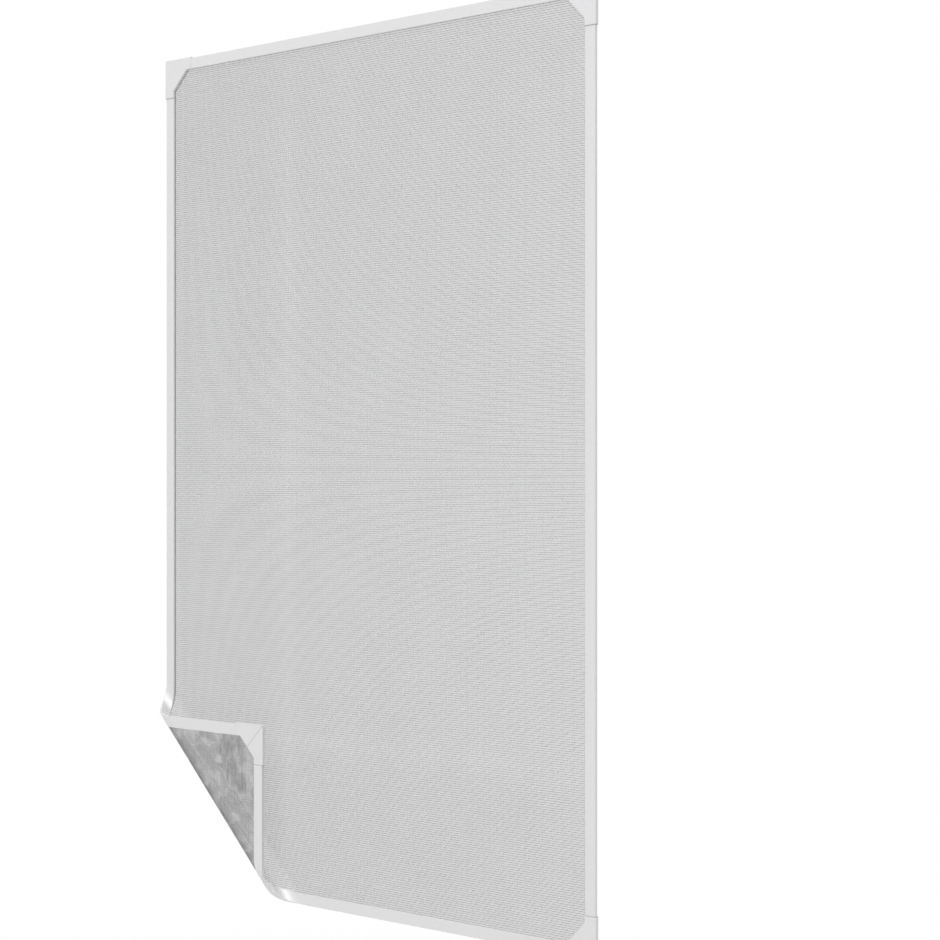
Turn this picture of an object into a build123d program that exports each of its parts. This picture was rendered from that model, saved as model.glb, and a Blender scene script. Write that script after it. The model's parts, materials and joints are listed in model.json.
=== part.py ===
from build123d import *
import math
import os

os.makedirs("parts", exist_ok=True)

# Magnetic window screen, upright as it is fixed to a window.
# X runs along the width, Z is up, the front looks towards -Y.
# The magnet faces lie in the plane y = 0.  All lengths are millimetres.
# Pieces are drawn with X from the left edge and Z from the bottom edge and
# moved at the end, so that the origin is the middle of the upper magnet face.

# Outer size and frame strip
WIDTH = 1000.0
HEIGHT = 1500.0
STRIP_W = 20.0
STRIP_T = 5.5
STRIP_CHAMFER = 0.7

# Mesh slit and cord groove in the inner edge, with depths from the back face
MESH_BACK = 0.6
MESH_T = 0.8
SLIT_CLEAR = 0.3
FRONT_LIP = 1.2
GROOVE_W = 2.8
CORD_T = 2.2
CORD_CLEAR = 0.3
MESH_END_CLEAR = 0.6

# Closed pocket with the flexible magnet
POCKET_MARGIN = 2.5
POCKET_WALL = 1.5
POCKET_SKIN = 0.6
POCKET_DEPTH = 2.2
MAGNET_CLEAR = 0.3

# Corner pieces
LEG = 68.0
GUSSET = 36.0
OVERHANG = 2.0
PROUD = 1.1
CORNER_ROUND = 3.0
CORNER_CHAMFER = 0.8
MESH_IN_GUSSET = 5.0
SLOT_CLEAR = 0.3
TONGUE_LENGTH = 25.0
TONGUE_CLEAR = 0.3
MAGNET_END_GAP = 1.0
MITRE_WIDTH = 0.5
MITRE_DEPTH = 0.3

# Peeled lower left corner: it turns through half a circle round an axis at
# 45 degrees, which starts FOLD_START along both edges from the corner
FOLD_START = 366.0
FOLD_RADIUS = 26.0

# Mesh: a plain grid of openings stands for the finer real one, and each bar
# between them has every second thread as a ridge
THREAD_PITCH = 3.65
THREADS_PER_BAR = 8
RIDGE_W = 0.9
FILM_T = 0.3
GAPS_ACROSS = 8
GAPS_UP = 12
FOLD_GAPS = 3
FOLD_FACETS = 18
SMALLEST_GAP = 0.05

MESH_MID = MESH_BACK + MESH_T / 2
MESH_FRONT = MESH_BACK + MESH_T
SLIT_FRONT = MESH_FRONT + SLIT_CLEAR
GROOVE_FRONT = MESH_FRONT + CORD_T
GROOVE_END = STRIP_W - FRONT_LIP
GROOVE_START = GROOVE_END - GROOVE_W
POCKET_START = POCKET_MARGIN
POCKET_END = GROOVE_START - POCKET_WALL
POCKET_FRONT = POCKET_SKIN + POCKET_DEPTH
MESH_EDGE = GROOVE_START + MESH_END_CLEAR
ROOT2 = math.sqrt(2)
HALF_TURN = math.pi * FOLD_RADIUS
FLAP = FOLD_START - HALF_TURN / ROOT2
BEND_END = FOLD_START - HALF_TURN * ROOT2
HALF_BAR = THREADS_PER_BAR * THREAD_PITCH / 2
BIG = 3000.0

# Round the fold axis the local frame has the radius along X and the axis
# along Z, and the sheet leaves the flat at an angle of zero
fold = Plane(
    origin=(FOLD_START / 2, -MESH_MID - FOLD_RADIUS, FOLD_START / 2),
    x_dir=(0, 1, 0),
    z_dir=(-1, 0, 1),
)
flap_axis = Axis((FLAP / 2, -MESH_MID - FOLD_RADIUS, FLAP / 2), (1, 0, -1))


def box(x0, x1, q0, q1, z0, z1):
    """Box with q as the depth from the back face towards the front."""
    centre = Pos((x0 + x1) / 2, -(q0 + q1) / 2, (z0 + z1) / 2)
    return centre * Box(x1 - x0, q1 - q0, z1 - z0)


def face_through(points):
    return Face(Wire.make_polygon(points, close=True))


def plate(points, q0, q1):
    """Plate with an outline of (x, z) points between two depths."""
    face = face_through([(x, -q0, z) for x, z in points])
    return extrude(face, amount=q1 - q0, dir=(0, -1, 0))


# Sections are lists of (s, q): s from the outer edge, q from the back face
strip_outline = [
    (0, 0),
    (STRIP_W, 0),
    (STRIP_W, MESH_BACK),
    (GROOVE_START, MESH_BACK),
    (GROOVE_START, GROOVE_FRONT),
    (GROOVE_END, GROOVE_FRONT),
    (GROOVE_END, SLIT_FRONT),
    (STRIP_W, SLIT_FRONT),
    (STRIP_W, STRIP_T - STRIP_CHAMFER),
    (STRIP_W - STRIP_CHAMFER, STRIP_T),
    (STRIP_CHAMFER, STRIP_T),
    (0, STRIP_T - STRIP_CHAMFER),
]


def rectangle(s0, s1, q0, q1):
    return [(s0, q0), (s1, q0), (s1, q1), (s0, q1)]


pocket_hole = rectangle(POCKET_START, POCKET_END, POCKET_SKIN, POCKET_FRONT)
magnet_section = rectangle(
    POCKET_START + MAGNET_CLEAR,
    POCKET_END - MAGNET_CLEAR,
    POCKET_SKIN,
    POCKET_FRONT - MAGNET_CLEAR,
)
cord_section = rectangle(
    GROOVE_START + CORD_CLEAR,
    GROOVE_END - CORD_CLEAR,
    MESH_FRONT,
    GROOVE_FRONT,
)


def straight(section, start, end):
    """Straight member with its outer edge on the bottom, from x start to end."""
    return extrude(
        face_through([(start, -q, s) for s, q in section]),
        amount=end - start,
        dir=(1, 0, 0),
    )


def folded(section, length, end_gap):
    """Lower member with its left end on the peeled corner.

    A cut along the fold axis is taken through it.  That cut is drawn out
    along the flat, turned through a half turn of a helix, as a sheet bends,
    and drawn out again on the flap.
    """
    cut = face_through([(FOLD_START - s, -q, s) for s, q in section])
    flat = extrude(cut, amount=length, dir=(1, 0, 0))
    flat -= box(length - end_gap, BIG, -50, 50, -50, 50)
    local = face_through(
        [
            (FOLD_RADIUS + MESH_MID - q, 0, ROOT2 * s - FOLD_START / ROOT2)
            for s, q in section
        ]
    )
    helix = Edge.make_helix(2 * HALF_TURN, HALF_TURN, FOLD_RADIUS)
    bend = fold.location * sweep(local, path=helix, is_frenet=True)
    turned = local.rotate(Axis.Z, 180).translate((0, 0, HALF_TURN))
    end = fold.location * turned
    free = extrude(end, amount=FOLD_START, dir=(0, 0, 1))
    free -= box(-BIG, BIG, -50, 100, FLAP - end_gap, BIG)
    return flat + bend + free


def swap_edges(shape):
    """Swap the left and the lower edge."""
    return mirror(shape, about=Plane(origin=(0, 0, 0), z_dir=(1, 0, -1)))


# Frame strips, magnets and cords
magnet_gap = LEG + TONGUE_LENGTH + MAGNET_END_GAP


def straight_members(length):
    strip = straight(strip_outline, LEG, length - LEG)
    strip -= straight(pocket_hole, LEG - 1, length - LEG + 1)
    magnet = straight(magnet_section, magnet_gap, length - magnet_gap)
    cord = straight(cord_section, LEG, length - LEG)
    return strip, magnet, cord


def folded_members(length):
    strip = folded(strip_outline, length, LEG)
    strip -= folded(pocket_hole, length, LEG - 1)
    magnet = folded(magnet_section, length, magnet_gap)
    cord = folded(cord_section, length, LEG)
    return strip, magnet, cord


bottom = folded_members(WIDTH)
left = [swap_edges(piece) for piece in folded_members(HEIGHT)]
top = [
    piece.rotate(Axis.Y, 180).translate((WIDTH, 0, HEIGHT))
    for piece in straight_members(WIDTH)
]
right = [
    piece.rotate(Axis.Y, -90).translate((WIDTH, 0, 0))
    for piece in straight_members(HEIGHT)
]


# Corner piece, drawn for the lower left corner
slot_edge = MESH_EDGE - SLOT_CLEAR
gusset_line = 2 * STRIP_W + GUSSET
mesh_cut = gusset_line - MESH_IN_GUSSET * ROOT2
slot_cut = mesh_cut - SLOT_CLEAR * ROOT2


def corner_piece():
    outline = [
        (-OVERHANG, -OVERHANG),
        (LEG, -OVERHANG),
        (LEG, STRIP_W),
        (STRIP_W + GUSSET, STRIP_W),
        (STRIP_W, STRIP_W + GUSSET),
        (STRIP_W, LEG),
        (-OVERHANG, LEG),
    ]
    body = plate(outline, 0, STRIP_T + PROUD)
    upright = body.edges().filter_by(Axis.Y)
    outer = upright.sort_by(lambda e: e.center().X + e.center().Z)[0]
    body = fillet(outer, CORNER_ROUND)
    body = chamfer(body.faces().sort_by(Axis.Y)[0].edges(), CORNER_CHAMFER)
    slot = [
        (slot_edge, slot_cut - slot_edge),
        (slot_cut - slot_edge, slot_edge),
        (2 * LEG, slot_edge),
        (2 * LEG, 2 * LEG),
        (slot_edge, 2 * LEG),
    ]
    body -= plate(slot, MESH_BACK, SLIT_FRONT)
    tongue = box(
        LEG - TONGUE_CLEAR,
        LEG + TONGUE_LENGTH,
        POCKET_SKIN + TONGUE_CLEAR,
        POCKET_FRONT - TONGUE_CLEAR,
        POCKET_START + TONGUE_CLEAR,
        POCKET_END - TONGUE_CLEAR,
    )
    body += tongue + swap_edges(tongue)
    half = MITRE_WIDTH / ROOT2
    mitre = [
        (-LEG, -LEG + half),
        (-LEG + half, -LEG),
        (LEG, LEG - half),
        (LEG - half, LEG),
    ]
    return body - plate(mitre, -1, MITRE_DEPTH)


corner = corner_piece()
corner_bottom_left = corner.rotate(flap_axis, 180)
corner_bottom_right = corner.rotate(Axis.Y, -90).translate((WIDTH, 0, 0))
corner_top_right = corner.rotate(Axis.Y, 180).translate((WIDTH, 0, HEIGHT))
corner_top_left = corner.rotate(Axis.Y, 90).translate((0, 0, HEIGHT))


# Mesh: one thin film, with the threads as ridges along the height on the
# front and along the width on the back
def comb(length, cells, root, tip):
    """Outline of (along, q) points with ridges on the bars of the grid."""
    points = [(0, MESH_MID), (0, root)]
    for number in range(cells + 1):
        bar = STRIP_W + number * (length - 2 * STRIP_W) / cells
        for thread in range(THREADS_PER_BAR):
            at = bar - HALF_BAR + (thread + 0.5) * THREAD_PITCH
            if STRIP_W < at < length - STRIP_W:
                points += [
                    (at - RIDGE_W / 2, root),
                    (at - RIDGE_W / 2, tip),
                    (at + RIDGE_W / 2, tip),
                    (at + RIDGE_W / 2, root),
                ]
    return points + [(length, root), (length, MESH_MID)]


front_comb = comb(WIDTH, GAPS_ACROSS, MESH_MID + FILM_T / 2, MESH_FRONT)
back_comb = comb(HEIGHT, GAPS_UP, MESH_MID - FILM_T / 2, MESH_BACK)
ridged = extrude(
    face_through([(x, -q, 0) for x, q in front_comb]), amount=HEIGHT, dir=(0, 0, 1)
)
ridged += extrude(
    face_through([(0, -q, z) for z, q in back_comb]), amount=WIDTH, dir=(1, 0, 0)
)


def flat_outline(edge, cut, fold):
    """Flat part: inside an edge, three cut corners and the fold's start."""
    return [
        (fold - edge, edge),
        (WIDTH - cut + edge, edge),
        (WIDTH - edge, cut - edge),
        (WIDTH - edge, HEIGHT - cut + edge),
        (WIDTH - cut + edge, HEIGHT - edge),
        (cut - edge, HEIGHT - edge),
        (edge, HEIGHT - cut + edge),
        (edge, fold - edge),
    ]


def flap_outline(edge, cut, fold):
    """Flap, as it lies before it is turned over."""
    return [
        (edge, cut - edge),
        (cut - edge, edge),
        (fold - edge, edge),
        (edge, fold - edge),
    ]


def openings(outline):
    """Openings of the grid, as far as they lie inside an outline."""
    inside = plate(outline, 0, STRIP_T)
    cell_x = (WIDTH - 2 * STRIP_W) / GAPS_ACROSS
    cell_z = (HEIGHT - 2 * STRIP_W) / GAPS_UP
    found = []
    for column in range(GAPS_ACROSS):
        for row in range(GAPS_UP):
            x = STRIP_W + column * cell_x
            z = STRIP_W + row * cell_z
            whole = box(
                x + HALF_BAR,
                x + cell_x - HALF_BAR,
                0,
                STRIP_T,
                z + HALF_BAR,
                z + cell_z - HALF_BAR,
            )
            part = whole & inside
            if part and part.volume > SMALLEST_GAP * whole.volume:
                found.append(part)
    return found


gap_margin = HALF_BAR * ROOT2
gap_cut = gusset_line + gap_margin
mesh_flat = ridged & plate(flat_outline(MESH_EDGE, mesh_cut, FOLD_START), 0, STRIP_T)
mesh_flat -= openings(flat_outline(STRIP_W, gap_cut, FOLD_START + gap_margin))
mesh_flap = ridged & plate(flap_outline(MESH_EDGE, mesh_cut, BEND_END), 0, STRIP_T)
mesh_flap -= openings(flap_outline(STRIP_W, gap_cut, BEND_END - gap_margin))
mesh_flap = mesh_flap.rotate(flap_axis, 180)


def fold_openings():
    """Row of openings along the fold."""
    arc = HALF_TURN - 2 * HALF_BAR
    width = 2 * FOLD_RADIUS * math.sin(arc / FOLD_RADIUS / 2)
    reach = (FOLD_START - 2 * STRIP_W) / ROOT2 - HALF_TURN + HALF_BAR - gap_margin
    step = 2 * (reach + HALF_BAR) / FOLD_GAPS
    return [
        Pos(0, FOLD_RADIUS, (number + 0.5) * step - reach - HALF_BAR)
        * Box(width, 2 * FOLD_RADIUS, step - 2 * HALF_BAR)
        for number in range(FOLD_GAPS)
    ]


def mesh_bend():
    """Half turn of the net in flat facets, trimmed along the bent edges.

    The facets stay inside the film's two radii, so they clear strip and cord.
    """
    step = math.pi / FOLD_FACETS
    inner = (FOLD_RADIUS - MESH_T / 2) / math.cos(step / 2)
    outer = FOLD_RADIUS + MESH_T / 2

    def point(number, radius, side):
        angle = number * step
        reach = (FOLD_START - 2 * MESH_EDGE) / ROOT2 - FOLD_RADIUS * angle
        return (radius * math.cos(angle), radius * math.sin(angle), side * reach)

    def wall(number, side):
        return [point(number, inner, side), point(number, outer, side)]

    faces = []
    for n in range(FOLD_FACETS):
        for radius in (inner, outer):
            corners = [(n, -1), (n, 1), (n + 1, 1), (n + 1, -1)]
            faces.append(face_through([point(k, radius, side) for k, side in corners]))
        for side in (-1, 1):
            a, b = wall(n, side)
            d, c = wall(n + 1, side)
            faces += [face_through([a, b, c]), face_through([a, c, d])]
    for n in (0, FOLD_FACETS):
        faces.append(face_through(wall(n, -1) + wall(n, 1)[::-1]))
    return fold.location * (Solid(Shell(faces)) - fold_openings())


# The net is one piece.  Its flat part, fold and flap are nodes of their own,
# that meet face to face, so that each has simple collision pieces
pieces = {
    "mesh_panel": mesh_flat,
    "mesh_fold": mesh_bend(),
    "mesh_flap": mesh_flap,
    "corner_piece_top_left": corner_top_left,
    "corner_piece_top_right": corner_top_right,
    "corner_piece_bottom_left": corner_bottom_left,
    "corner_piece_bottom_right": corner_bottom_right,
}
sides = {"top": top, "bottom": bottom, "left": left, "right": right}
for side, members in sides.items():
    for kind, piece in zip(("frame_strip", "magnet_strip", "mesh_cord"), members):
        pieces[f"{kind}_{side}"] = piece

for name, piece in pieces.items():
    placed = piece.translate((-WIDTH / 2, 0, STRIP_W / 2 - HEIGHT))
    export_step(placed, f"parts/{name}.step")
    print(name, len(placed.solids()), round(placed.volume), placed.bounding_box())
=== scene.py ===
import json
import math

import bpy
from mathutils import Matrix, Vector

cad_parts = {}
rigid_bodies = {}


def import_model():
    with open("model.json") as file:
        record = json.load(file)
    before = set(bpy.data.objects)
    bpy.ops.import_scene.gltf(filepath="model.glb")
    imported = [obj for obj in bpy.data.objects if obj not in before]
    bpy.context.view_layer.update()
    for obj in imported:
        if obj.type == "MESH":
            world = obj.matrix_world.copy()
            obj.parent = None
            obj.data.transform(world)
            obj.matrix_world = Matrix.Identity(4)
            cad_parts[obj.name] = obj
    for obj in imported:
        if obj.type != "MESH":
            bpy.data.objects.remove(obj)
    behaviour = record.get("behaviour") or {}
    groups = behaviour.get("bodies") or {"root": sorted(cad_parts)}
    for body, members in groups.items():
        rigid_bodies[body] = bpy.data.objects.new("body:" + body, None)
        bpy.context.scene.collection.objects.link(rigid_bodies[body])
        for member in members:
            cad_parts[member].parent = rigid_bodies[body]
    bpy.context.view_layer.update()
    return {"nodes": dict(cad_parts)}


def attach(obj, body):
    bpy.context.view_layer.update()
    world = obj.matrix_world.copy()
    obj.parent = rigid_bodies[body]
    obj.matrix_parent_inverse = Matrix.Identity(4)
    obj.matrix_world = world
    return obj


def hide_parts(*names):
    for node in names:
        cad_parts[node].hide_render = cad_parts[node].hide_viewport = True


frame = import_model()

# Sizes in metres, as in the CAD source
WIDTH = 1.0
HEIGHT = 1.5
STRIP_W = 0.020
NET_MID = 0.001
NET_EDGE = 0.0166
NET_CUT = 2 * STRIP_W + 0.036 - 0.005 * math.sqrt(2)
FOLD_START = 0.366
FOLD_RADIUS = 0.026
THREAD_PITCH = 0.00365 / 2
UPRIGHT_D = 0.00044
LEVEL_D = 0.00064
THREAD_LAYER = 0.00013
UNEVEN_YARN = 0.4
JITTER = 0.0001
RIPPLE = 0.005
LEG = 0.068
RIPPLE_SCALE = 26.0
SLACK_START = 30.0
SLACK_RISE = 32.0
SEED_STEP = 5000.0
THREAD_ENDS = (0.25, 2000.25)
FLAP_STEPS = 12
BEND_STEPS = 14
NET_NODES = ("mesh_panel", "mesh_fold", "mesh_flap")
HALF_TURN = math.pi * FOLD_RADIUS
BEND_END = FOLD_START - HALF_TURN * math.sqrt(2)
PEELED_TIP = FOLD_START - HALF_TURN / math.sqrt(2)
LEFT, BOTTOM = -WIDTH / 2, STRIP_W / 2 - HEIGHT


# Node helpers

def node(tree, kind, **values):
    made = tree.nodes.new(kind)
    for name, value in values.items():
        setattr(made, name, value)
    return made


def feed(tree, target, source):
    """Links a socket, or sets the value of an input."""
    if isinstance(source, bpy.types.NodeSocket):
        tree.links.new(source, target)
    elif source is not None:
        target.default_value = source


def math_node(tree, operation, *inputs, clamp=False):
    made = node(tree, "ShaderNodeMath", operation=operation, use_clamp=clamp)
    for socket, value in zip(made.inputs, inputs):
        feed(tree, socket, value)
    return made.outputs[0]


def noise(tree, vector, scale, detail, distortion=0.0):
    made = node(tree, "ShaderNodeTexNoise")
    feed(tree, made.inputs["Vector"], vector)
    for label, value in (("Scale", scale), ("Detail", detail), ("Distortion", distortion)):
        feed(tree, made.inputs[label], value)
    return made.outputs[0]


def blend(tree, amount, first, second):
    """Colour between two others."""
    made = node(tree, "ShaderNodeMix", data_type="RGBA")
    for index, value in ((0, amount), (6, first), (7, second)):
        feed(tree, made.inputs[index], value)
    return made.outputs[2]


def spread(tree, value, low, high, to_low, to_high, kind="LINEAR"):
    """Value moved from one range to another."""
    made = node(tree, "ShaderNodeMapRange", interpolation_type=kind)
    feed(tree, made.inputs["Value"], value)
    labels = ("From Min", "From Max", "To Min", "To Max")
    for label, limit in zip(labels, (low, high, to_low, to_high)):
        feed(tree, made.inputs[label], limit)
    return made.outputs[0]


# The net: threads laid out flat and bent with the peeled corner

def thread_tree():
    tree = bpy.data.node_groups.new("net threads", "GeometryNodeTree")
    face = tree.interface
    face.new_socket("Geometry", in_out="INPUT", socket_type="NodeSocketGeometry")
    sizes = {
        "Across": WIDTH,
        "Along": HEIGHT,
        "First": 0.0,
        "Before": 0.0,
        "Pitch": THREAD_PITCH,
        "Edge": NET_EDGE,
        "Corner Cut": NET_CUT,
        "Fold Start": FOLD_START,
        "Fold Radius": FOLD_RADIUS,
        "Middle": NET_MID,
        "Layer": 0.0,
        "Thread Radius": LEVEL_D / 2,
        "Uneven": 0.0,
        "Jitter": JITTER,
        "Seed": 1.0,
        "Ripple": RIPPLE,
    }
    for name, value in sizes.items():
        socket = face.new_socket(name, in_out="INPUT", socket_type="NodeSocketFloat")
        socket.default_value = value
    counts = {"Threads": 10, "Flap Steps": 0, "Bend Steps": 0, "Flat Steps": 1}
    for name, value in counts.items():
        socket = face.new_socket(name, in_out="INPUT", socket_type="NodeSocketInt")
        socket.default_value = value
    face.new_socket("Level", in_out="INPUT", socket_type="NodeSocketBool")
    face.new_socket("Material", in_out="INPUT", socket_type="NodeSocketMaterial")
    face.new_socket("Geometry", in_out="OUTPUT", socket_type="NodeSocketGeometry")
    given = node(tree, "NodeGroupInput").outputs
    out = node(tree, "NodeGroupOutput")

    def m(operation, *inputs, clamp=False):
        return math_node(tree, operation, *inputs, clamp=clamp)

    # One polyline for each thread
    steps = m("ADD", m("ADD", given["Flap Steps"], given["Bend Steps"]), given["Flat Steps"])
    points = m("ADD", steps, 1.0)
    rows = node(tree, "GeometryNodeMeshLine")
    feed(tree, rows.inputs["Count"], given["Threads"])
    line = node(tree, "GeometryNodeMeshLine")
    feed(tree, line.inputs["Count"], points)
    copies = node(tree, "GeometryNodeInstanceOnPoints")
    feed(tree, copies.inputs["Points"], rows.outputs["Mesh"])
    feed(tree, copies.inputs["Instance"], line.outputs["Mesh"])
    laid = node(tree, "GeometryNodeRealizeInstances")
    feed(tree, laid.inputs["Geometry"], copies.outputs["Instances"])
    index = node(tree, "GeometryNodeInputIndex").outputs["Index"]
    number = m("FLOOR", m("DIVIDE", m("ADD", index, 0.5), points))
    step = m("SUBTRACT", index, m("MULTIPLY", number, points))

    # Where each thread lies across the sheet, and where it starts and ends
    across = m("MULTIPLY_ADD", number, given["Pitch"], given["First"])
    far = m("SUBTRACT", given["Across"], across)
    near_cut = m("SUBTRACT", given["Corner Cut"], across)
    far_cut = m("SUBTRACT", given["Corner Cut"], far)
    start = m("MAXIMUM", given["Edge"], m("MAXIMUM", near_cut, far_cut))
    end = m("SUBTRACT", given["Along"], start)
    half_turn = m("MULTIPLY", given["Fold Radius"], math.pi)
    bend_from = m("SUBTRACT", given["Fold Start"], across)
    bend_to = m("SUBTRACT", bend_from, m("MULTIPLY", half_turn, math.sqrt(2)))
    flap_top = m("MAXIMUM", bend_to, start)
    bend_top = m("MAXIMUM", bend_from, start)

    def share(done, total):
        return m("DIVIDE", m("SUBTRACT", step, done), m("MAXIMUM", total, 1.0), clamp=True)

    flap_part = share(0.0, given["Flap Steps"])
    bend_part = share(given["Flap Steps"], given["Bend Steps"])
    flat_part = share(m("ADD", given["Flap Steps"], given["Bend Steps"]), given["Flat Steps"])
    along = m("MULTIPLY_ADD", m("SUBTRACT", flap_top, start), flap_part, start)
    along = m("MULTIPLY_ADD", m("SUBTRACT", bend_top, flap_top), bend_part, along)
    along = m("MULTIPLY_ADD", m("SUBTRACT", end, bend_top), flat_part, along)

    # No thread lies quite straight, and every second level one is thicker
    counted = m("ADD", number, given["Before"])
    lot = m("MULTIPLY_ADD", given["Seed"], SEED_STEP, counted)
    drift = []
    for end_of_thread in THREAD_ENDS:
        chance = node(tree, "ShaderNodeTexWhiteNoise", noise_dimensions="1D")
        feed(tree, chance.inputs["W"], m("ADD", lot, end_of_thread))
        drift.append(m("MULTIPLY", m("SUBTRACT", chance.outputs["Value"], 0.5), given["Jitter"]))
    run = m("DIVIDE", along, given["Along"])
    across = m("ADD", across, m("MULTIPLY_ADD", m("SUBTRACT", drift[1], drift[0]), run, drift[0]))
    odd = m("MODULO", counted, 2.0)
    thickness = m("MULTIPLY_ADD", m("MULTIPLY_ADD", odd, 2.0, -1.0), given["Uneven"], 1.0)

    # Ripples where the peeled net is slack, none at its edges
    sheet_place = node(tree, "ShaderNodeCombineXYZ")
    swap = node(tree, "GeometryNodeSwitch", input_type="VECTOR")
    feed(tree, sheet_place.inputs[0], across)
    feed(tree, sheet_place.inputs[2], along)
    swapped = node(tree, "ShaderNodeCombineXYZ")
    feed(tree, swapped.inputs[0], along)
    feed(tree, swapped.inputs[2], across)
    feed(tree, swap.inputs["Switch"], given["Level"])
    feed(tree, swap.inputs["False"], sheet_place.outputs[0])
    feed(tree, swap.inputs["True"], swapped.outputs[0])
    total = m("ADD", across, along)
    turn = m("DIVIDE", m("SUBTRACT", given["Fold Start"], total), math.sqrt(2))
    past = m("MAXIMUM", m("SUBTRACT", turn, half_turn), 0.0)
    waves = noise(tree, swap.outputs[0], RIPPLE_SCALE, 1.5)
    slack = m("MULTIPLY", past, SLACK_START, clamp=True)
    for gap in (
        m("SUBTRACT", across, given["Edge"]),
        m("SUBTRACT", along, given["Edge"]),
        m("SUBTRACT", total, given["Corner Cut"]),
    ):
        slack = m("MULTIPLY", slack, m("MULTIPLY", gap, SLACK_RISE, clamp=True))
    wave = m("MULTIPLY", m("SUBTRACT", waves, 0.5), given["Ripple"])
    height = m("MULTIPLY_ADD", wave, slack, given["Layer"])

    # The half turn of the peeled corner
    turned = m("MINIMUM", m("MAXIMUM", turn, 0.0), half_turn)
    angle = m("DIVIDE", turned, given["Fold Radius"])
    radius = m("SUBTRACT", given["Fold Radius"], height)
    out_by = m("MULTIPLY_ADD", radius, m("SINE", angle), m("MINIMUM", turn, 0.0))
    out_by = m("SUBTRACT", out_by, past)
    rise = m("SUBTRACT", given["Fold Radius"], m("MULTIPLY", radius, m("COSINE", angle)))
    new_total = m("SUBTRACT", given["Fold Start"], m("MULTIPLY", out_by, math.sqrt(2)))
    shift = m("MULTIPLY", m("SUBTRACT", new_total, total), 0.5)
    depth = m("SUBTRACT", m("MULTIPLY", given["Middle"], -1.0), rise)
    moved = node(tree, "ShaderNodeVectorMath", operation="ADD")
    push = node(tree, "ShaderNodeCombineXYZ")
    feed(tree, push.inputs[0], shift)
    feed(tree, push.inputs[1], depth)
    feed(tree, push.inputs[2], shift)
    feed(tree, moved.inputs[0], swap.outputs[0])
    feed(tree, moved.inputs[1], push.outputs[0])
    place = node(tree, "GeometryNodeSetPosition")
    feed(tree, place.inputs["Geometry"], laid.outputs["Geometry"])
    feed(tree, place.inputs["Position"], moved.outputs[0])

    # Six-sided threads along the polylines
    kept = node(tree, "GeometryNodeStoreNamedAttribute", data_type="FLOAT", domain="POINT")
    feed(tree, kept.inputs["Geometry"], place.outputs["Geometry"])
    feed(tree, kept.inputs["Name"], "thickness")
    feed(tree, kept.inputs["Value"], thickness)
    curves = node(tree, "GeometryNodeMeshToCurve")
    feed(tree, curves.inputs[0], kept.outputs["Geometry"])
    thick = node(tree, "GeometryNodeInputNamedAttribute", data_type="FLOAT")
    feed(tree, thick.inputs["Name"], "thickness")
    ring = node(tree, "GeometryNodeCurvePrimitiveCircle", mode="RADIUS")
    feed(tree, ring.inputs["Resolution"], 6)
    feed(tree, ring.inputs["Radius"], given["Thread Radius"])
    solid = node(tree, "GeometryNodeCurveToMesh")
    feed(tree, solid.inputs["Curve"], curves.outputs[0])
    feed(tree, solid.inputs["Scale"], thick.outputs["Attribute"])
    feed(tree, solid.inputs["Profile Curve"], ring.outputs[0])
    feed(tree, solid.inputs["Fill Caps"], True)
    plain = node(tree, "GeometryNodeRemoveAttribute")
    feed(tree, plain.inputs["Geometry"], solid.outputs[0])
    feed(tree, plain.inputs["Name"], "thickness")
    painted = node(tree, "GeometryNodeSetMaterial")
    feed(tree, painted.inputs["Geometry"], plain.outputs[0])
    feed(tree, painted.inputs["Material"], given["Material"])
    feed(tree, out.inputs[0], painted.outputs["Geometry"])
    return tree


def grown(tree, name, values):
    """Mesh that a tree makes with these inputs."""
    holder = bpy.data.objects.new(name, bpy.data.meshes.new(name))
    bpy.context.scene.collection.objects.link(holder)
    modifier = holder.modifiers.new("threads", "NODES")
    modifier.node_group = tree
    for item in tree.interface.items_tree:
        if item.item_type == "SOCKET" and item.in_out == "INPUT" and item.name in values:
            modifier[item.identifier] = values[item.name]
    graph = bpy.context.evaluated_depsgraph_get()
    mesh = bpy.data.meshes.new_from_object(holder.evaluated_get(graph))
    bpy.data.objects.remove(holder)
    return mesh


def thread_groups(across):
    """(threads before, first place, count, steps) of each group over one side."""
    count = int((across - 2 * NET_EDGE) / THREAD_PITCH)
    first = (across - (count - 1) * THREAD_PITCH) / 2
    edges = [BEND_END - NET_EDGE - 0.004, FOLD_START - NET_EDGE - 0.0005, across]
    steps = [(FLAP_STEPS, BEND_STEPS, 1), (0, BEND_STEPS, 1), (0, 0, 1)]
    done = 0
    for limit, step in zip(edges, steps):
        upto = min(count, max(done, int(math.ceil((limit - first) / THREAD_PITCH))))
        if upto > done:
            yield done, first + done * THREAD_PITCH, upto - done, step
        done = upto


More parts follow.
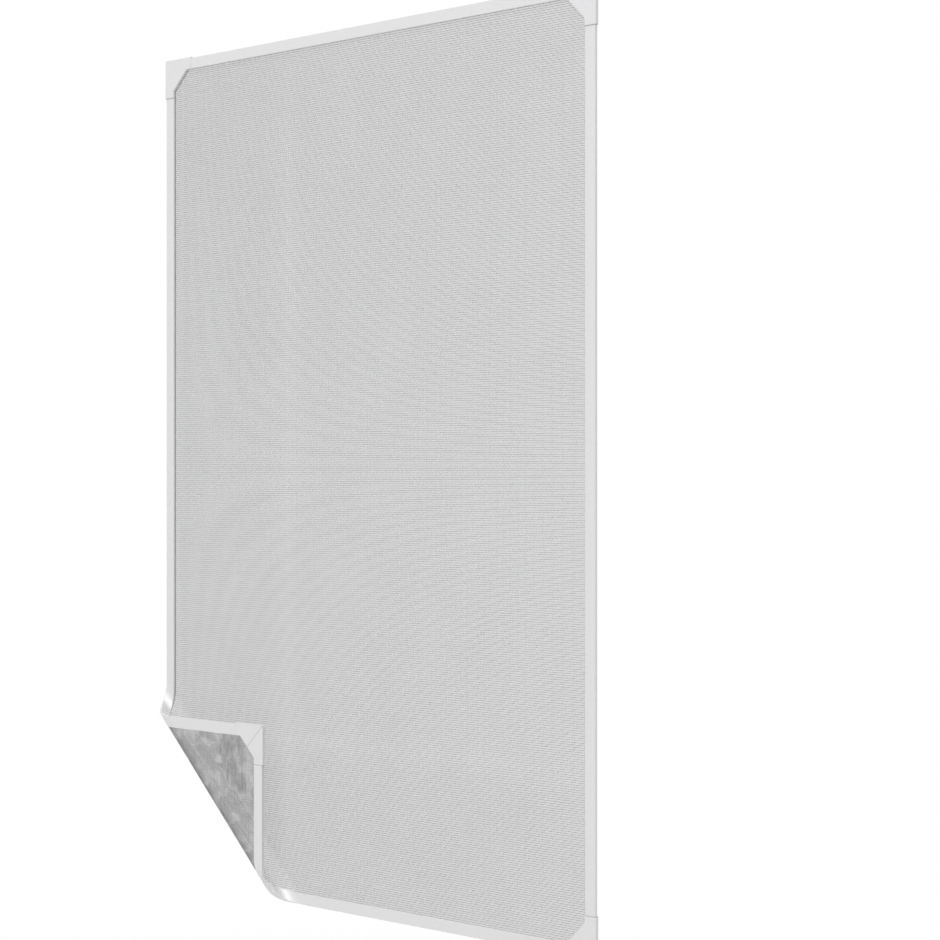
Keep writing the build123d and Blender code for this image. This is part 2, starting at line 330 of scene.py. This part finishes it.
def make_net(material):
    tree = thread_tree()
    meshes = []
    for level, across, along in ((False, WIDTH, HEIGHT), (True, HEIGHT, WIDTH)):
        for before, first, count, step in thread_groups(across):
            values = {
                "Across": across,
                "Along": along,
                "First": first,
                "Before": float(before),
                "Layer": -THREAD_LAYER if level else THREAD_LAYER,
                "Thread Radius": (LEVEL_D if level else UPRIGHT_D) / 2,
                "Uneven": UNEVEN_YARN if level else 0.0,
                "Seed": 2.0 if level else 1.0,
                "Threads": count,
                "Flap Steps": step[0],
                "Bend Steps": step[1],
                "Flat Steps": step[2],
                "Level": level,
                "Material": material,
            }
            meshes.append(grown(tree, "threads", values))
    pieces = []
    for mesh in meshes:
        piece = bpy.data.objects.new("threads", mesh)
        bpy.context.scene.collection.objects.link(piece)
        pieces.append(piece)
    for piece in bpy.context.view_layer.objects:
        piece.select_set(piece in pieces)
    bpy.context.view_layer.objects.active = pieces[0]
    bpy.ops.object.join()
    net = pieces[0]
    net.name = "net"
    offset = Vector((LEFT, 0, BOTTOM))
    for vertex in net.data.vertices:
        vertex.co += offset
    net.data.polygons.foreach_set("use_smooth", [True] * len(net.data.polygons))
    net.data.update()
    return net


# Shader groups shared by the finishes

DUST_GREY = (0.45, 0.44, 0.42, 1.0)
# Grey of the dark joint lines on the corner pieces, which also paints the shade of their steps
SEAM_AND_SHADE_GREY = (0.38, 0.38, 0.38, 1.0)


def shader_group(name, inputs, outputs):
    tree = bpy.data.node_groups.new(name, "ShaderNodeTree")
    for label, kind, value in inputs:
        socket = tree.interface.new_socket(label, in_out="INPUT", socket_type=kind)
        if value is not None:
            socket.default_value = value
    for label, kind in outputs:
        tree.interface.new_socket(label, in_out="OUTPUT", socket_type=kind)
    return tree, node(tree, "NodeGroupInput").outputs, node(tree, "NodeGroupOutput").inputs


def grain_group():
    """Fine grain and slow tone over a surface, drawn out along one direction."""
    tree, given, out = shader_group(
        "plastic grain",
        [
            ("Vector", "NodeSocketVector", None),
            ("Stretch", "NodeSocketVector", (1.0, 1.0, 1.0)),
            ("Colour", "NodeSocketColor", (0.8, 0.8, 0.8, 1.0)),
            ("Tone", "NodeSocketFloat", 0.03),
            ("Grain Scale", "NodeSocketFloat", 900.0),
            ("Dust", "NodeSocketFloat", 0.02),
        ],
        [
            ("Colour", "NodeSocketColor"),
            ("Height", "NodeSocketFloat"),
            ("Roughness", "NodeSocketFloat"),
        ],
    )
    stretched = node(tree, "ShaderNodeVectorMath", operation="MULTIPLY")
    feed(tree, stretched.inputs[0], given["Vector"])
    feed(tree, stretched.inputs[1], given["Stretch"])
    slow = noise(tree, given["Vector"], 6.0, 3.0)
    lines = noise(tree, stretched.outputs[0], 420.0, 2.0)
    fine = noise(tree, given["Vector"], given["Grain Scale"], 2.0)
    fine_part = math_node(tree, "MULTIPLY", fine, 0.4)
    both = math_node(tree, "MULTIPLY_ADD", lines, 0.6, fine_part)
    shade = 1.0
    for pattern in (slow, both):
        swing = math_node(tree, "SUBTRACT", pattern, 0.5)
        shade = math_node(tree, "MULTIPLY_ADD", swing, given["Tone"], shade)
    bright = node(tree, "ShaderNodeHueSaturation")
    feed(tree, bright.inputs["Color"], given["Colour"])
    feed(tree, bright.inputs["Value"], shade)
    specks = math_node(tree, "GREATER_THAN", fine, 0.68)
    dusty = math_node(tree, "MULTIPLY", specks, given["Dust"])
    feed(tree, out["Colour"], blend(tree, dusty, bright.outputs[0], DUST_GREY))
    feed(tree, out["Height"], both)
    feed(tree, out["Roughness"], math_node(tree, "MULTIPLY_ADD", both, 0.16, 0.34))
    return tree


def fibre_group():
    """Tone of coated yarn: patches along the net and short streaks on each thread."""
    tree, given, out = shader_group(
        "net fibre",
        [
            ("Vector", "NodeSocketVector", None),
            ("Light", "NodeSocketColor", (0.3, 0.3, 0.3, 1.0)),
            ("Dark", "NodeSocketColor", (0.18, 0.18, 0.18, 1.0)),
        ],
        [("Colour", "NodeSocketColor"), ("Height", "NodeSocketFloat")],
    )
    patch = noise(tree, given["Vector"], 9.0, 3.0)
    streak = noise(tree, given["Vector"], 1400.0, 2.0)
    streak_part = math_node(tree, "MULTIPLY", streak, 0.4)
    amount = math_node(tree, "MULTIPLY_ADD", patch, 0.6, streak_part)
    feed(tree, out["Colour"], blend(tree, amount, given["Dark"], given["Light"]))
    feed(tree, out["Height"], streak)
    return tree


def seam_and_shade_group():
    """Thin dark lines where the legs of a corner piece end and along its mitre: dark joints, and
    painted shade where a leg ends in a step over the strip.
    """
    tree, given, out = shader_group(
        "moulding seams",
        [
            ("Vector", "NodeSocketVector", None),
            ("At X", "NodeSocketFloat", 0.0),
            ("At Z", "NodeSocketFloat", 0.0),
            ("Width", "NodeSocketFloat", 0.0012),
            # Level lines are darker than upright ones: painted shade from light above, below the
            # step where a leg ends
            ("Upright Line", "NodeSocketFloat", 0.2),
            ("Level Line", "NodeSocketFloat", 0.7),
            ("Mitre", "NodeSocketFloat", 0.0),
        ],
        [("Seam", "NodeSocketFloat")],
    )
    place = node(tree, "ShaderNodeSeparateXYZ")
    feed(tree, place.inputs[0], given["Vector"])
    from_x = math_node(tree, "SUBTRACT", place.outputs[0], given["At X"])
    from_z = math_node(tree, "SUBTRACT", place.outputs[2], given["At Z"])

    def line(offset, depth):
        away = math_node(tree, "DIVIDE", math_node(tree, "ABSOLUTE", offset), given["Width"])
        solid = math_node(tree, "SUBTRACT", 1.5, away, clamp=True)
        return math_node(tree, "MULTIPLY", solid, depth)

    upright = line(from_x, given["Upright Line"])
    level = line(from_z, given["Level Line"])
    mitre = line(math_node(tree, "SUBTRACT", from_x, from_z), given["Mitre"])
    ends = math_node(tree, "MAXIMUM", upright, level)
    feed(tree, out["Seam"], math_node(tree, "MAXIMUM", ends, mitre))
    return tree


def material(name):
    made = bpy.data.materials.new(name)
    made.use_nodes = True
    tree = made.node_tree
    shader = tree.nodes["Principled BSDF"]
    place = node(tree, "ShaderNodeTexCoord").outputs["Object"]
    return made, tree, shader, place


def bump(tree, shader, height, strength, distance):
    made = node(tree, "ShaderNodeBump")
    feed(tree, made.inputs["Strength"], strength)
    feed(tree, made.inputs["Distance"], distance)
    feed(tree, made.inputs["Height"], height)
    feed(tree, shader.inputs["Normal"], made.outputs[0])


def plastic(name, colour, stretch, tone, dust, strength, coat, seam_and_shade=None):
    """Material with grain, dust and coat, and dark joint lines with painted step shade at (x, z,
    mitre depth).
    """
    made, tree, shader, place = material(name)
    grain = node(tree, "ShaderNodeGroup", node_tree=plastic_grain)
    feed(tree, grain.inputs["Vector"], place)
    feed(tree, grain.inputs["Stretch"], stretch)
    feed(tree, grain.inputs["Colour"], (*colour, 1.0))
    feed(tree, grain.inputs["Tone"], tone)
    feed(tree, grain.inputs["Dust"], dust)
    colour = grain.outputs["Colour"]
    if seam_and_shade:
        lines = node(tree, "ShaderNodeGroup", node_tree=seam_and_shade_lines)
        feed(tree, lines.inputs["Vector"], place)
        for label, value in zip(("At X", "At Z", "Mitre"), seam_and_shade):
            feed(tree, lines.inputs[label], value)
        # Dark joint lines and painted step shade laid over the grain
        colour = blend(tree, lines.outputs["Seam"], colour, SEAM_AND_SHADE_GREY)
    feed(tree, shader.inputs["Base Color"], colour)
    feed(tree, shader.inputs["Roughness"], grain.outputs["Roughness"])
    shader.inputs["Coat Weight"].default_value = coat
    shader.inputs["Coat Roughness"].default_value = COAT_ROUGHNESS
    shader.inputs["Coat IOR"].default_value = COAT_IOR
    bump(tree, shader, grain.outputs["Height"], strength, GRAIN_HEIGHT)
    return made


plastic_grain = grain_group()
seam_and_shade_lines = seam_and_shade_group()
STRIP_WHITE = (0.80, 0.80, 0.80)
CORNER_WHITE = (0.82, 0.82, 0.82)
FERRITE = (0.05, 0.04, 0.035)
CORD_GREY = (0.5, 0.5, 0.5)
COAT_ROUGHNESS = 0.34
COAT_IOR = 1.7
GRAIN_HEIGHT = 0.0002
UPRIGHT_GRAIN, LEVEL_GRAIN, EVEN_GRAIN = (1, 1, 0.02), (0.02, 1, 1), (1, 1, 1)
# Tone, dust, bump strength and coat of each kind
STRIP_LOOK = (0.03, 0.05, 0.12, 1.0)
CORNER_LOOK = (0.03, 0.05, 0.2, 0.4)
finishes = {
    "upright": plastic("white strip upright", STRIP_WHITE, UPRIGHT_GRAIN, *STRIP_LOOK),
    "level": plastic("white strip level", STRIP_WHITE, LEVEL_GRAIN, *STRIP_LOOK),
    "magnet": plastic("ferrite tape", FERRITE, EVEN_GRAIN, 0.3, 0.2, 0.4, 0.0),
    "cord": plastic("grey cord", CORD_GREY, EVEN_GRAIN, 0.1, 0.1, 0.3, 0.0),
}
# Where the legs of each corner piece end, where its dark joint lines and painted step shade go,
# and how dark its mitre is
corner_seams_and_shade = {
    "corner_piece_top_left": (LEFT + LEG, STRIP_W / 2 - LEG, 0.0),
    "corner_piece_top_right": (-LEFT - LEG, STRIP_W / 2 - LEG, 0.0),
    "corner_piece_bottom_right": (-LEFT - LEG, BOTTOM + LEG, 0.0),
    "corner_piece_bottom_left": (LEFT + PEELED_TIP - LEG, BOTTOM + PEELED_TIP - LEG, 0.35),
}
for name, seam_and_shade in corner_seams_and_shade.items():
    label = name.replace("corner_piece", "moulding").replace("_", " ")
    finishes[name] = plastic(label, CORNER_WHITE, EVEN_GRAIN, *CORNER_LOOK, seam_and_shade)
finish_of = {
    "frame_strip_left": "upright",
    "frame_strip_right": "upright",
    "frame_strip_top": "level",
    "frame_strip_bottom": "level",
}
for name, piece in frame["nodes"].items():
    if name in NET_NODES:
        continue
    kind = finish_of.get(name, name)
    if kind not in finishes:
        kind = "magnet" if name.startswith("magnet") else "cord"
    piece.data.materials.clear()
    piece.data.materials.append(finishes[kind])

YARN_LIGHT = (0.40, 0.40, 0.405, 1.0)
YARN_DARK = (0.25, 0.25, 0.255, 1.0)
# Pale grey of the painted sheen on the peeled corner of the net
PAINTED_SHEEN_PALE = (0.80, 0.80, 0.80, 1.0)
net_finish, tree, shader, place = material("coated net yarn")
fibre = node(tree, "ShaderNodeGroup", node_tree=fibre_group())
feed(tree, fibre.inputs["Vector"], place)
feed(tree, fibre.inputs["Light"], YARN_LIGHT)
feed(tree, fibre.inputs["Dark"], YARN_DARK)
# Painted sheen: pale patches on the peeled corner, which stands in front of the rest, paint the
# light that its crumpled coated yarn catches
sheen_noise = noise(tree, place, 46.0, 4.0, 0.5)
where = node(tree, "ShaderNodeSeparateXYZ")
feed(tree, where.inputs[0], place)
peeled_corner_mask = spread(tree, where.outputs[1], -0.02, -0.05, 0.0, 1.0)
pale = spread(tree, sheen_noise, 0.40, 0.72, 0.10, 0.62, "SMOOTHSTEP")
amount = math_node(tree, "MULTIPLY", pale, peeled_corner_mask)
# Yarn colour with the painted sheen laid over it
yarn_with_painted_sheen = blend(tree, amount, fibre.outputs["Colour"], PAINTED_SHEEN_PALE)
feed(tree, shader.inputs["Base Color"], yarn_with_painted_sheen)
shader.inputs["Roughness"].default_value = 0.6
bump(tree, shader, fibre.outputs["Height"], 0.3, 0.0001)

net = make_net(net_finish)
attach(net, "root")
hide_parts("mesh_panel", "mesh_fold", "mesh_flap")

# Floor, lamps and white surroundings
FLOOR_Z = -1.992
FLOOR_REACH = 30
SHADOW_TO, WHITE_FROM = 2.2, 3.2
floor_mesh = bpy.data.meshes.new("floor")
corners = [(x * FLOOR_REACH, y * FLOOR_REACH) for x, y in ((-1, -1), (1, -1), (1, 1), (-1, 1))]
floor_mesh.from_pydata([(x, y, FLOOR_Z) for x, y in corners], [], [(0, 1, 2, 3)])
floor = bpy.data.objects.new("floor", floor_mesh)
bpy.context.scene.collection.objects.link(floor)


def seen_directly(tree):
    """1 for rays that show the surroundings: camera, glossy and transmission rays."""
    ray = node(tree, "ShaderNodeLightPath").outputs
    seen = math_node(tree, "MAXIMUM", ray["Is Camera Ray"], ray["Is Glossy Ray"])
    return math_node(tree, "MAXIMUM", seen, ray["Is Transmission Ray"])


floor_finish = bpy.data.materials.new("pale floor")
floor_finish.use_nodes = True
tree = floor_finish.node_tree
shader = tree.nodes["Principled BSDF"]
shader.inputs["Base Color"].default_value = (0.95, 0.95, 0.95, 1)
shader.inputs["Roughness"].default_value = 0.9
glow = node(tree, "ShaderNodeEmission")
glow.inputs["Strength"].default_value = 1.0
# White from 3.2 m off the origin, which is 2.5 m out across the floor, and under
# the object it keeps a soft shadow
spot = node(tree, "ShaderNodeVectorMath", operation="LENGTH")
feed(tree, spot.inputs[0], node(tree, "ShaderNodeTexCoord").outputs["Object"])
away = spread(tree, spot.outputs["Value"], SHADOW_TO, WHITE_FROM, 0.6, 1.0, "SMOOTHSTEP")
mix = node(tree, "ShaderNodeMixShader")
feed(tree, mix.inputs[0], math_node(tree, "MULTIPLY", seen_directly(tree), away))
feed(tree, mix.inputs[1], shader.outputs[0])
feed(tree, mix.inputs[2], glow.outputs[0])
feed(tree, tree.nodes["Material Output"].inputs[0], mix.outputs[0])
floor_mesh.materials.append(floor_finish)

AMBIENT = 0.42
world = bpy.data.worlds.new("studio")
world.use_nodes = True
bpy.context.scene.world = world
tree = world.node_tree
dim = tree.nodes["Background"]
dim.inputs["Color"].default_value = (1, 1, 1, 1)
dim.inputs["Strength"].default_value = AMBIENT
bright = node(tree, "ShaderNodeBackground")
bright.inputs["Color"].default_value = (1, 1, 1, 1)
bright.inputs["Strength"].default_value = 1.0
mix = node(tree, "ShaderNodeMixShader")
feed(tree, mix.inputs[0], seen_directly(tree))
feed(tree, mix.inputs[1], dim.outputs[0])
feed(tree, mix.inputs[2], bright.outputs[0])
feed(tree, tree.nodes["World Output"].inputs[0], mix.outputs[0])


LAMP_DISTANCE = 8.0


def soft_lamp(name, direction, size, level):
    """Square lamp that adds this level of light to a surface that faces it."""
    towards = Vector(direction).normalized()
    lamp = bpy.data.lights.new(name, "AREA")
    lamp.shape = "SQUARE"
    lamp.size = size
    lamp.energy = level * math.pi**2 * LAMP_DISTANCE**2
    made = bpy.data.objects.new(name, lamp)
    middle = Vector((0, 0, STRIP_W / 2 - HEIGHT / 2))
    made.location = middle + towards * LAMP_DISTANCE
    made.rotation_euler = towards.to_track_quat("Z", "Y").to_euler()
    bpy.context.scene.collection.objects.link(made)


soft_lamp("key", (0.17, -0.5, 0.85), 6.0, 0.65)
soft_lamp("fill", (-0.2, 0.85, 0.4), 4.0, 0.32)

# Camera at the photograph's place: level, at half height
LENS_PIXELS = 2140.0
IMAGE_PIXELS = 940
SENSOR = 36.0
EYE_HEIGHT = 0.751
TURN = math.radians(41.49)
camera_data = bpy.data.cameras.new("camera")
camera_data.sensor_width = SENSOR
camera_data.lens = LENS_PIXELS / IMAGE_PIXELS * SENSOR
camera = bpy.data.objects.new("camera", camera_data)
camera.location = (2.5238, -2.5822, EYE_HEIGHT + BOTTOM)
camera.rotation_euler = (math.pi / 2, 0, TURN)
bpy.context.scene.collection.objects.link(camera)
bpy.context.scene.camera = camera
bpy.context.scene.view_settings.view_transform = "Standard"
